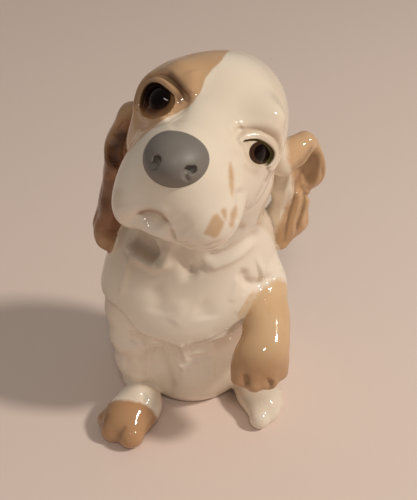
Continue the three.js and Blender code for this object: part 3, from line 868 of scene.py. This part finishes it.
def raise_lines(total, strokes, q, scale, share, profile=ridge, reach=RIDGE_REACH):
    """Add the height of lines at the places q of their drawing."""
    for width, height, points in strokes:
        line = curve(points)
        near = (share > LEAST_SHARE) & near_line(line, q, width * reach)
        distance, side, travel = along(line, q[near])
        value = height * profile(distance * scale[near], side, width)
        total[near] += value * fade_ends(travel, *RELIEF_ENDS) * share[near]


def relief(p, normals, values):
    """Height of the folds at each point of the skin, in millimetres."""
    uv, scale = to_photo(p)
    facing = facing_camera(p, normals, *RELIEF_FACING)
    total = np.zeros(len(p))
    for profile, reach, drawn in ((ridge, RIDGE_REACH, RIDGES), (fold, FOLD_REACH, MOUTH)):
        for places, strokes in drawn.items():
            raise_lines(total, strokes, uv, scale, share_of(values, places) * facing, profile, reach)
    for places, (axes, way), strokes in HIDDEN:
        unseen = smooth(normals @ np.array(way, float), *UNSEEN_FACING) * (1 - facing)
        raise_lines(total, strokes, p[:, axes], np.ones(len(p)), share_of(values, places) * unseen)
    return total


# Paint: edges of the tan areas
TAN_LINE = [(236, 46), (231.5, 50), (222, 60), (212, 70), (205, 79), (202, 90), (198, 96), (193, 102),
            (187, 107), (179.5, 111), (172, 115), (164.5, 118.5), (158, 123.5), (149.5, 131), (139.5, 140),
            (130, 151)]
TAN_SPOTS = [where_seen(bare_head, u, v) for u, v in TAN_LINE]
TAN_EDGE = np.array(sorted([(spot[2], spot[0]) for spot in TAN_SPOTS] + [(24, -3), (-16, -15)])).T
ANKLE_LINE = curve([(90, 413), (98, 408), (106, 404), (115, 400.5), (129, 400.7), (145, 404.5),
                    (153.5, 411.5), (157, 420), (158, 434)])
CREAM_LINE = curve([(272, 246), (278, 226), (286, 208), (292, 198), (293, 182), (290, 166), (287, 152),
                    (288, 134)])
TAN_ENDS = (("right_hind_leg", ANKLE_LINE, 0.5), ("left_ear", CREAM_LINE, 0.3))
TAN_PIECES = ("right_ear", "left_ear", "left_foreleg", "right_hind_leg")
SHOULDER_LINE = ((243, 301), (258, 288.5), (280, 279))


def torso_or_foreleg(p):
    return np.minimum(torso(p), left_foreleg(p))


def shoulder_plane():
    """Where the arm's tan ends: a point of the plane, and its way towards the paw."""
    start, middle, end = [seen_at(torso_or_foreleg, u, v) for u, v in SHOULDER_LINE]
    way = unit(np.cross(middle - start, end - start))
    return middle, way * np.sign(way @ (np.array(PAW_AT) - start))


SHOULDER_AT, ARM_WAY = shoulder_plane()
ARM_REACH, ARM_RISE, ARM_SHARPNESS = 3.5, (42, 50), 0.35
UNPAINTED = -5.0
NEAR_PIECE, NEAR_ARM, NEAR_END = 4, 5, 1.5

# How deep each tan is, from 0 to 1; the raised arm's grows down the frame
TONE = 0.52
TONES = {"left_ear": 0.42, "right_hind_leg": 0.8}
ARM_TONE = 0.1
ARM_TONE_RISES = ((0.2, 300, 345), (0.45, 335, 378))

# Brush marks on the cheek
MARKS = [
    [(229, 162), (232, 163), (234.5, 172), (235, 184), (234, 193), (232, 198), (229.5, 192), (228, 182),
     (227.5, 172)],
    [(220, 210), (224, 207), (227.5, 210), (227, 221), (224, 219), (221, 215)],
    [(212, 216), (218, 213), (223, 219), (225, 223), (222, 232), (216, 239), (209, 237), (203, 234),
     (206, 227)],
    [(230, 212), (235, 205), (238, 208), (237, 218), (234, 227), (230, 228), (228, 224), (229, 218)],
]
MARK_REACH, MARK_FACING = 8, 0.5

# Painted shade: soft darker lines in creases, hollows, toe clefts and the mouth, partly the figurine's own
# airbrushed brown; width in millimetres, strength, points
PAINTED_SHADES = {
    "head": [
        (1.1, 0.7, [(166, 72), (172, 77), (177, 83), (180.5, 90), (180, 98), (177, 107)]),
        (1.5, 0.4, [(134, 108), (138, 96), (145, 84), (156, 76)]),
        (1.2, 0.25, [(172, 113), (179, 104), (184, 94)]),
        (0.6, 0.35, [(239, 139), (245, 131.5), (257, 130), (269, 134), (277, 142), (281, 155)]),
        (0.9, 0.18, [(243, 163), (250, 170), (260, 171.5)]),
        (0.35, 0.45, [(266, 164), (269, 173), (264, 183)]),
        (0.3, 0.25, [(264, 183), (257.5, 194), (253, 202)]),
        (0.55, 0.6, [(138, 214.5), (141.5, 212), (149, 210.5), (157, 212), (162, 215), (166, 220),
                     (170, 226)]),
        (1.6, 0.25, [(141, 217), (151, 216), (159, 220), (166, 228)]),
        (0.3, 0.3, [(171, 228), (173, 235), (177, 240)]),
        (1.6, 0.2, [(117, 186), (117, 200), (121, 210)]),
    ],
    "left_ear": [
        (2.6, 0.4, [(312, 152), (314, 162), (313, 174), (306, 186)]),
        (0.6, 0.4, [(314, 145), (305, 158), (298, 165), (289, 171)]),
        (0.9, 0.35, [(302, 183), (306, 188), (312, 190)]),
        (0.4, 0.4, LEFT_LOCK_NEAR),
        (0.4, 0.4, LEFT_LOCK_FAR),
    ],
    # painted shade in the right ear's hollow and along a groove of its flap
    "right_ear": [
        (2.4, 0.9, [(127, 128), (121, 139), (113, 150), (114, 160), (120, 168)]),
        (2.6, 0.35, [(112, 178), (110, 195), (106, 215)]),
    ],
    # painted shade in the hollow under the chin's pouch
    "torso": [(2.6, 0.5, [(132, 240), (141, 246), (151, 253), (159, 259)])],
    "left_foreleg": [
        (0.8, 0.35, [(246.5, 374), (247, 386)]),
        (0.9, 0.3, [(270, 380), (272, 389)]),
    ],
    "right_hind_leg": [
        (0.7, 0.35, [(117, 444), (121, 434), (127, 425)]),
        (0.7, 0.3, [(101, 430), (104, 421), (110, 413)]),
    ],
}

# Painted light on the brown ear: the lit inside of the roll at its top and the lit underside of the rolled
# tip; width in millimetres, strength, points
PAINTED_LIGHT_ON_EAR = [
    (2.0, 0.75, [(128, 108), (118, 117), (112, 128), (108.5, 141), (108, 151)]),
    (2.6, 0.5, [(98, 239), (107, 245), (118, 250)]),
]

NOSE_SHARPNESS, NOSE_GROWTH = 0.7, 0.05
IRIS_AWAY, IRIS_REACH = 30.0, 13
EYES_APART = 200
UNGLAZED_BELOW = 0.12


class Skin:
    """The points of a piece, with what its painting needs."""
    def __init__(self, p, values, normals):
        self.p = p
        self.values = values
        self.owner = values.argmin(1)
        self.facing = facing_camera(p, normals, *PAINT_FACING)
        self.local = to_head(p.astype(FLOAT))
        self.uv, self.scale = to_photo(p)
        self.front = self.on("head") & (self.local[:, 1] < FRONT_BEFORE)

    def on(self, name):
        return self.owner == NAMES.index(name)

    def away(self, name):
        return self.values[:, NAMES.index(name)]

    def lead(self, name):
        return lead(self.values, NAMES.index(name))

    def strokes(self, line, near, width):
        """Strength of a soft stroke, and the share travelled along it."""
        distance, _, travel = along(line, self.uv[near])
        value = np.exp(-(distance * self.scale[near] / width) ** 2) * self.facing[near]
        return value, travel


def tan_depth(skin):
    """Millimetres into the tan: on the head a patch, else whole pieces with soft ends."""
    patch = np.interp(skin.local[:, 2], *TAN_EDGE) - skin.local[:, 0]
    tan = np.where(skin.away("head") < NEAR_PIECE, np.minimum(patch, skin.lead("head")), UNPAINTED)
    for name in TAN_PIECES:
        edge = skin.lead(name)
        rim = np.where(skin.away(name) < NEAR_PIECE, np.maximum(tan, edge), tan)
        tan = np.where(skin.on(name), edge, rim)
    for name, line, sharpness in TAN_ENDS:
        distance, side, _ = along(line, skin.uv)
        end = np.minimum(tan, distance * side * skin.scale * sharpness)
        tan = np.where(skin.away(name) < NEAR_END, end, tan)
    spread = skin.lead("left_foreleg") + ARM_REACH * smooth(skin.p[:, 2], *ARM_RISE)
    spread = np.minimum(spread, ((skin.p - SHOULDER_AT) @ ARM_WAY) * ARM_SHARPNESS)
    return np.where(skin.away("left_foreleg") < NEAR_ARM, spread, tan)


def tan_tone(skin):
    tone = np.full(len(skin.p), TONE)
    for name, value in TONES.items():
        tone[skin.on(name)] = value
    arm = ARM_TONE + sum(gain * smooth(skin.uv[:, 1], low, high) for gain, low, high in ARM_TONE_RISES)
    on_arm = (skin.away("left_foreleg") < NEAR_ARM) & ~skin.on("left_hind_leg")
    return np.where(on_arm, arm, tone)


def brown_share_with_painted_light(skin):
    ear = skin.on("right_ear")
    brown = ear.astype(float)
    # Painted light: the brown is thinned along lines where light falls on the ear
    for width, strength, points in PAINTED_LIGHT_ON_EAR:
        value, _ = skin.strokes(curve(points), ear, width)
        brown[ear] -= strength * value
    return brown


def mark_depth(skin):
    mark = np.full(len(skin.p), UNPAINTED)
    for points in MARKS:
        line = curve(points, True)
        near = skin.on("head") & (skin.facing > MARK_FACING) & near_line(line, skin.uv, MARK_REACH)
        mark[near] = np.maximum(mark[near], depth_in(line, skin.uv[near]) * skin.scale[near])
    return mark


# Painted shade: how strongly each point is darkened along the soft darker lines in creases and hollows
def painted_shade_share(skin):
    shade = np.zeros(len(skin.p))
    for name, strokes in PAINTED_SHADES.items():
        for width, strength, points in strokes:
            line = curve(points)
            near = skin.on(name) & near_line(line, skin.uv, width * RIDGE_REACH)
            value, travel = skin.strokes(line, near, width)
            shade[near] = np.maximum(shade[near], strength * value * fade_ends(travel, *SHADE_ENDS))
    return shade


def eye_values(skin):
    """Millimetres into the opening and from the iris, and share of the lid's dark line."""
    count = len(skin.p)
    eye, upper = np.full(count, UNPAINTED), np.zeros(count)
    iris_x, iris_y = np.full(count, IRIS_AWAY), np.full(count, IRIS_AWAY)
    for ball in EYES:
        near = skin.front & (length(skin.local - ball.at.astype(FLOAT)) < IRIS_REACH)
        uv, scale = skin.uv[near], skin.scale[near]
        eye[near] = ball.depth(skin.local[near])
        upper[near] = ball.upper(uv) * smooth(uv[:, 0], *ball.lash)
        iris_x[near] = (uv[:, 0] - ball.iris[0]) * scale
        iris_y[near] = (uv[:, 1] - ball.iris[1]) * scale
    return {"eye": eye, "upper": upper, "iris_x": iris_x, "iris_y": iris_y}


def paint(p, values, normals):
    """Millimetres into each painted area and shares of the soft tones, painted shade and painted light among
    them.
    """
    skin = Skin(p, values, normals)
    into_nose = (bare_head(skin.local) - nose(skin.local)) * NOSE_SHARPNESS + NOSE_GROWTH
    return {
        "bare": p[:, 2] < UNGLAZED_BELOW,
        "tan": tan_depth(skin),
        "tone": tan_tone(skin),
        "brown": brown_share_with_painted_light(skin),
        "mark": mark_depth(skin),
        "shade": painted_shade_share(skin),
        "grey": np.where(skin.front, into_nose, UNPAINTED),
        "right": skin.uv[:, 0] < EYES_APART,
        **eye_values(skin),
    }


# Materials
def srgb(hexed):
    parts = [int(hexed[i:i + 2], 16) / 255 for i in (1, 3, 5)]
    return tuple(c / 12.92 if c <= 0.04045 else ((c + 0.055) / 1.055) ** 2.4 for c in parts) + (1,)


class Nodes:
    """A material's tree, with short ways to add its nodes."""
    def __init__(self, name):
        self.material = bpy.data.materials.new(name)
        self.material.use_nodes = True
        self.tree = self.material.node_tree
        self.tree.nodes.clear()

    def add(self, kind, inputs=(), **settings):
        node = self.tree.nodes.new("ShaderNode" + kind)
        for key, value in settings.items():
            setattr(node, key, value)
        for key, value in dict(inputs).items():
            if isinstance(value, bpy.types.NodeSocket):
                self.tree.links.new(value, node.inputs[key])
            else:
                node.inputs[key].default_value = srgb(value) if isinstance(value, str) else value
        return node

    def attribute(self, name):
        return self.add("Attribute", attribute_name=name).outputs["Fac"]

    def math(self, operation, a, b=0.0):
        return self.add("Math", {0: a, 1: b}, operation=operation).outputs[0]

    def ramp(self, value, low, high, to_low=0.0, to_high=1.0):
        inputs = {0: value, 1: low, 2: high, 3: to_low, 4: to_high}
        return self.add("MapRange", inputs, interpolation_type="SMOOTHSTEP").outputs[0]

    def noise(self, scale, detail=2.0):
        inputs = {"Vector": self.place, "Scale": scale, "Detail": detail, "Roughness": 0.5}
        return self.add("TexNoise", inputs).outputs["Fac"]

    def mix(self, share, a, b):
        return self.add("Mix", {0: share, 6: a, 7: b}, data_type="RGBA").outputs[2]

    def finish(self, inputs):
        shader = self.add("BsdfPrincipled", inputs)
        self.add("OutputMaterial", {0: shader.outputs[0]})
        return self.material


PAINT_EDGE, FINE_EDGE, LASH_EDGE = (-0.3, 0.3), (-0.06, 0.08), (-0.08, 0.08)
MARK_EDGE, MARK_STRENGTH = (-0.3, 0.8), 0.7
WOBBLE = 0.5
RIGHT_LASH, LEFT_LASH = 0.35, 0.6
GLOSS, NOSE_ROUGHNESS, CLAY_ROUGHNESS = 0.08, 0.5, 0.85
BUMP_STRENGTH, BUMP_HEIGHT = 0.15, 0.0004


# Spots of each eye: millimetres across and down from the iris's middle, radius, soft edge, colour. The right
# eye's first, wide dark-brown spot is painted shade on the left of the ball
RIGHT_SPOTS = ((-0.9, 0.3, 4.0, 1.2, "#4f3020"), (0, -0.1, 3.15, 0.25, "#24140c"),
               (0.1, -0.1, 2.3, 0.6, "#0b0403"))
LEFT_SPOTS = ((0.25, -0.1, 2.75, 0.1, "#402a1d"), (0.8, -0.1, 2.1, 0.12, "#0f0403"))


def with_spots(n, colour, spots):
    for across, down, radius, soft, spot in spots:
        x = n.math("SUBTRACT", n.attribute("iris_x"), across)
        y = n.math("SUBTRACT", n.attribute("iris_y"), down)
        away = n.math("SQRT", n.math("ADD", n.math("MULTIPLY", x, x), n.math("MULTIPLY", y, y)))
        colour = n.mix(n.ramp(n.math("SUBTRACT", radius, away), -soft, soft), colour, spot)
    return colour


def painted_eyes(n, skin):
    """The balls and the line under the upper lid, over the skin's colour."""
    right = n.attribute("right")
    inside = n.attribute("eye")
    left_ball = with_spots(n, n.mix(0.25, skin, "#b99a78"), LEFT_SPOTS)
    # The right ball is brown round the iris, partly its own colour and partly painted shade under the lids
    colour = n.mix(right, left_ball, with_spots(n, "#a97a50", RIGHT_SPOTS))
    band = n.math("SUBTRACT", n.ramp(right, 0.0, 1.0, LEFT_LASH, RIGHT_LASH), inside)
    lash = n.math("MULTIPLY", n.ramp(band, *LASH_EDGE), n.attribute("upper"))
    colour = n.mix(lash, colour, n.mix(right, "#5f5230", "#1e130d"))
    return n.mix(n.ramp(inside, *FINE_EDGE), skin, colour)


def painted_glaze(n):
    """Ivory, tan areas with brush marks, painted shade and painted light, the nose and the eyes."""
    ivory = n.mix(n.ramp(n.noise(28), 0.35, 0.7), "#efe1cf", "#e8d6bf")
    tan_tone = n.mix(n.attribute("tone"), "#e3c197", "#ad7e58")
    # Deep brown of the right ear: its own brown, made darker as painted shade; lighter along the painted
    # light
    tan_tone = n.mix(n.attribute("brown"), tan_tone, "#85583b")
    tan_tone = n.mix(n.ramp(n.noise(90, 3), 0.3, 0.75, 0.0, 0.3), tan_tone, "#c08d5e")
    wobble = n.math("MULTIPLY", n.math("SUBTRACT", n.noise(700, 3), 0.5), WOBBLE)
    tan = n.ramp(n.math("ADD", n.attribute("tan"), wobble), *PAINT_EDGE)
    colour = n.mix(tan, ivory, tan_tone)
    mark = n.ramp(n.math("ADD", n.attribute("mark"), wobble), *MARK_EDGE, 0.0, MARK_STRENGTH)
    colour = n.mix(mark, colour, "#c5955c")
    # Painted shade along the soft darker lines: warm brown on ivory, deep brown on tan
    colour = n.mix(n.attribute("shade"), colour, n.mix(tan, "#a27a55", "#4a2c1c"))
    grey = n.ramp(n.attribute("grey"), *FINE_EDGE)
    colour = n.mix(grey, colour, n.mix(n.noise(120), "#716a64", "#82796f"))
    return painted_eyes(n, colour), grey


def porcelain(name, shine):
    n = Nodes(name)
    n.place = n.add("TexCoord").outputs["Object"]
    colour, grey = painted_glaze(n)
    bare = n.attribute("bare")
    glossy = n.ramp(grey, 0.0, 1.0, GLOSS, NOSE_ROUGHNESS)
    ripple = {"Strength": BUMP_STRENGTH, "Distance": BUMP_HEIGHT, "Height": n.noise(220)}
    return n.finish({
        "Base Color": n.mix(bare, colour, "#e6ddd0"),
        "Roughness": n.math("MAXIMUM", glossy, n.ramp(bare, 0.0, 1.0, 0.0, CLAY_ROUGHNESS)),
        "Normal": n.add("Bump", ripple).outputs[0],
        "Specular IOR Level": shine,
        "Coat Weight": 0.0,
    })


def matt(name, colour):
    return Nodes(name).finish({"Base Color": colour, "Roughness": 0.6, "Specular IOR Level": 0.2})


glaze = porcelain("glazed_porcelain", 0.5)
eye_glaze = porcelain("glazed_eyes", 0.12)


# Pieces
BOX_MARGIN = 2.5
OUTER_SKIN = (-0.5, -0.3)


def add_mesh(name, points, faces, attributes):
    mesh = bpy.data.meshes.new(name)
    mesh.from_pydata((points - BASE) * MM, [], faces)
    mesh.validate()
    mesh.shade_smooth()
    for key, value in attributes.items():
        mesh.attributes.new(key, "FLOAT", "POINT").data.foreach_set("value", value.astype(FLOAT))
    return add_object(name, mesh)


def add_piece(index, name):
    """The glazed skin of one casting, with its relief and its paint."""
    _, slot, step = NODES[name]
    form = piece_form(index)
    low, high = [np.array(corner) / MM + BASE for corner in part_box(name)]
    points, faces = surface(form, low - BOX_MARGIN, high + BOX_MARGIN, step * COARSE)
    points = settle(form, points, faces, step)
    values = node_values(points)
    slope = slope_of(form, points)
    normals = slope / np.maximum(length(slope), TINY)[:, None]
    outer = smooth(-np.abs(whole_of(values, points)), *OUTER_SKIN)
    points = points + normals * (relief(points, normals, values) * outer)[:, None]
    painted = paint(points, values, normals)
    piece = add_mesh("glazed_" + name, points, faces, painted)
    piece.data.materials.append(glaze)
    if name == "head":
        piece.data.materials.append(eye_glaze)
        in_eye = (painted["eye"][faces].min(1) > 0).astype(np.int32)
        piece.data.polygons.foreach_set("material_index", in_eye)
    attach(piece, "root")
    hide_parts(name)


for index, name in enumerate(NAMES):
    add_piece(index, name)


# Studio, in metres
FLOOR_HALF = 3
LAMP_COLOUR = (1, 0.95, 0.88)
SKY_COLOUR, SKY_STRENGTH = (1, 0.96, 0.91, 1), 0.24
AIM = (0, 0, 0.06)


def add_floor():
    s = FLOOR_HALF
    mesh = bpy.data.meshes.new("floor")
    mesh.from_pydata([(-s, -s, 0), (s, -s, 0), (s, s, 0), (-s, s, 0)], [], [(0, 1, 2, 3)])
    mesh.materials.append(matt("table_top", "#ead5c8"))
    return add_object("floor", mesh)


def add_sky():
    world = bpy.data.worlds.new("studio")
    bpy.context.scene.world = world
    world.use_nodes = True
    background = world.node_tree.nodes["Background"]
    background.inputs["Color"].default_value = SKY_COLOUR
    background.inputs["Strength"].default_value = SKY_STRENGTH


def add_lamp(name, at, size, power):
    data = bpy.data.lights.new(name, "AREA")
    data.shape = "DISK"
    data.size = size
    data.energy = power
    data.color = LAMP_COLOUR
    light = add_object(name, data)
    z = unit(np.array(at) - np.array(AIM))
    x = unit(np.cross((0, 0, 1), z))
    light.matrix_world = Matrix.Translation(at) @ axes_matrix(x, np.cross(z, x), z)


floor = add_floor()
add_sky()
add_lamp("key", (0.62, -0.28, 0.72), 0.12, 5.0)
add_lamp("front", (-0.05, -0.55, 0.8), 0.1, 1.1)

bpy.context.scene.view_settings.view_transform = "Standard"
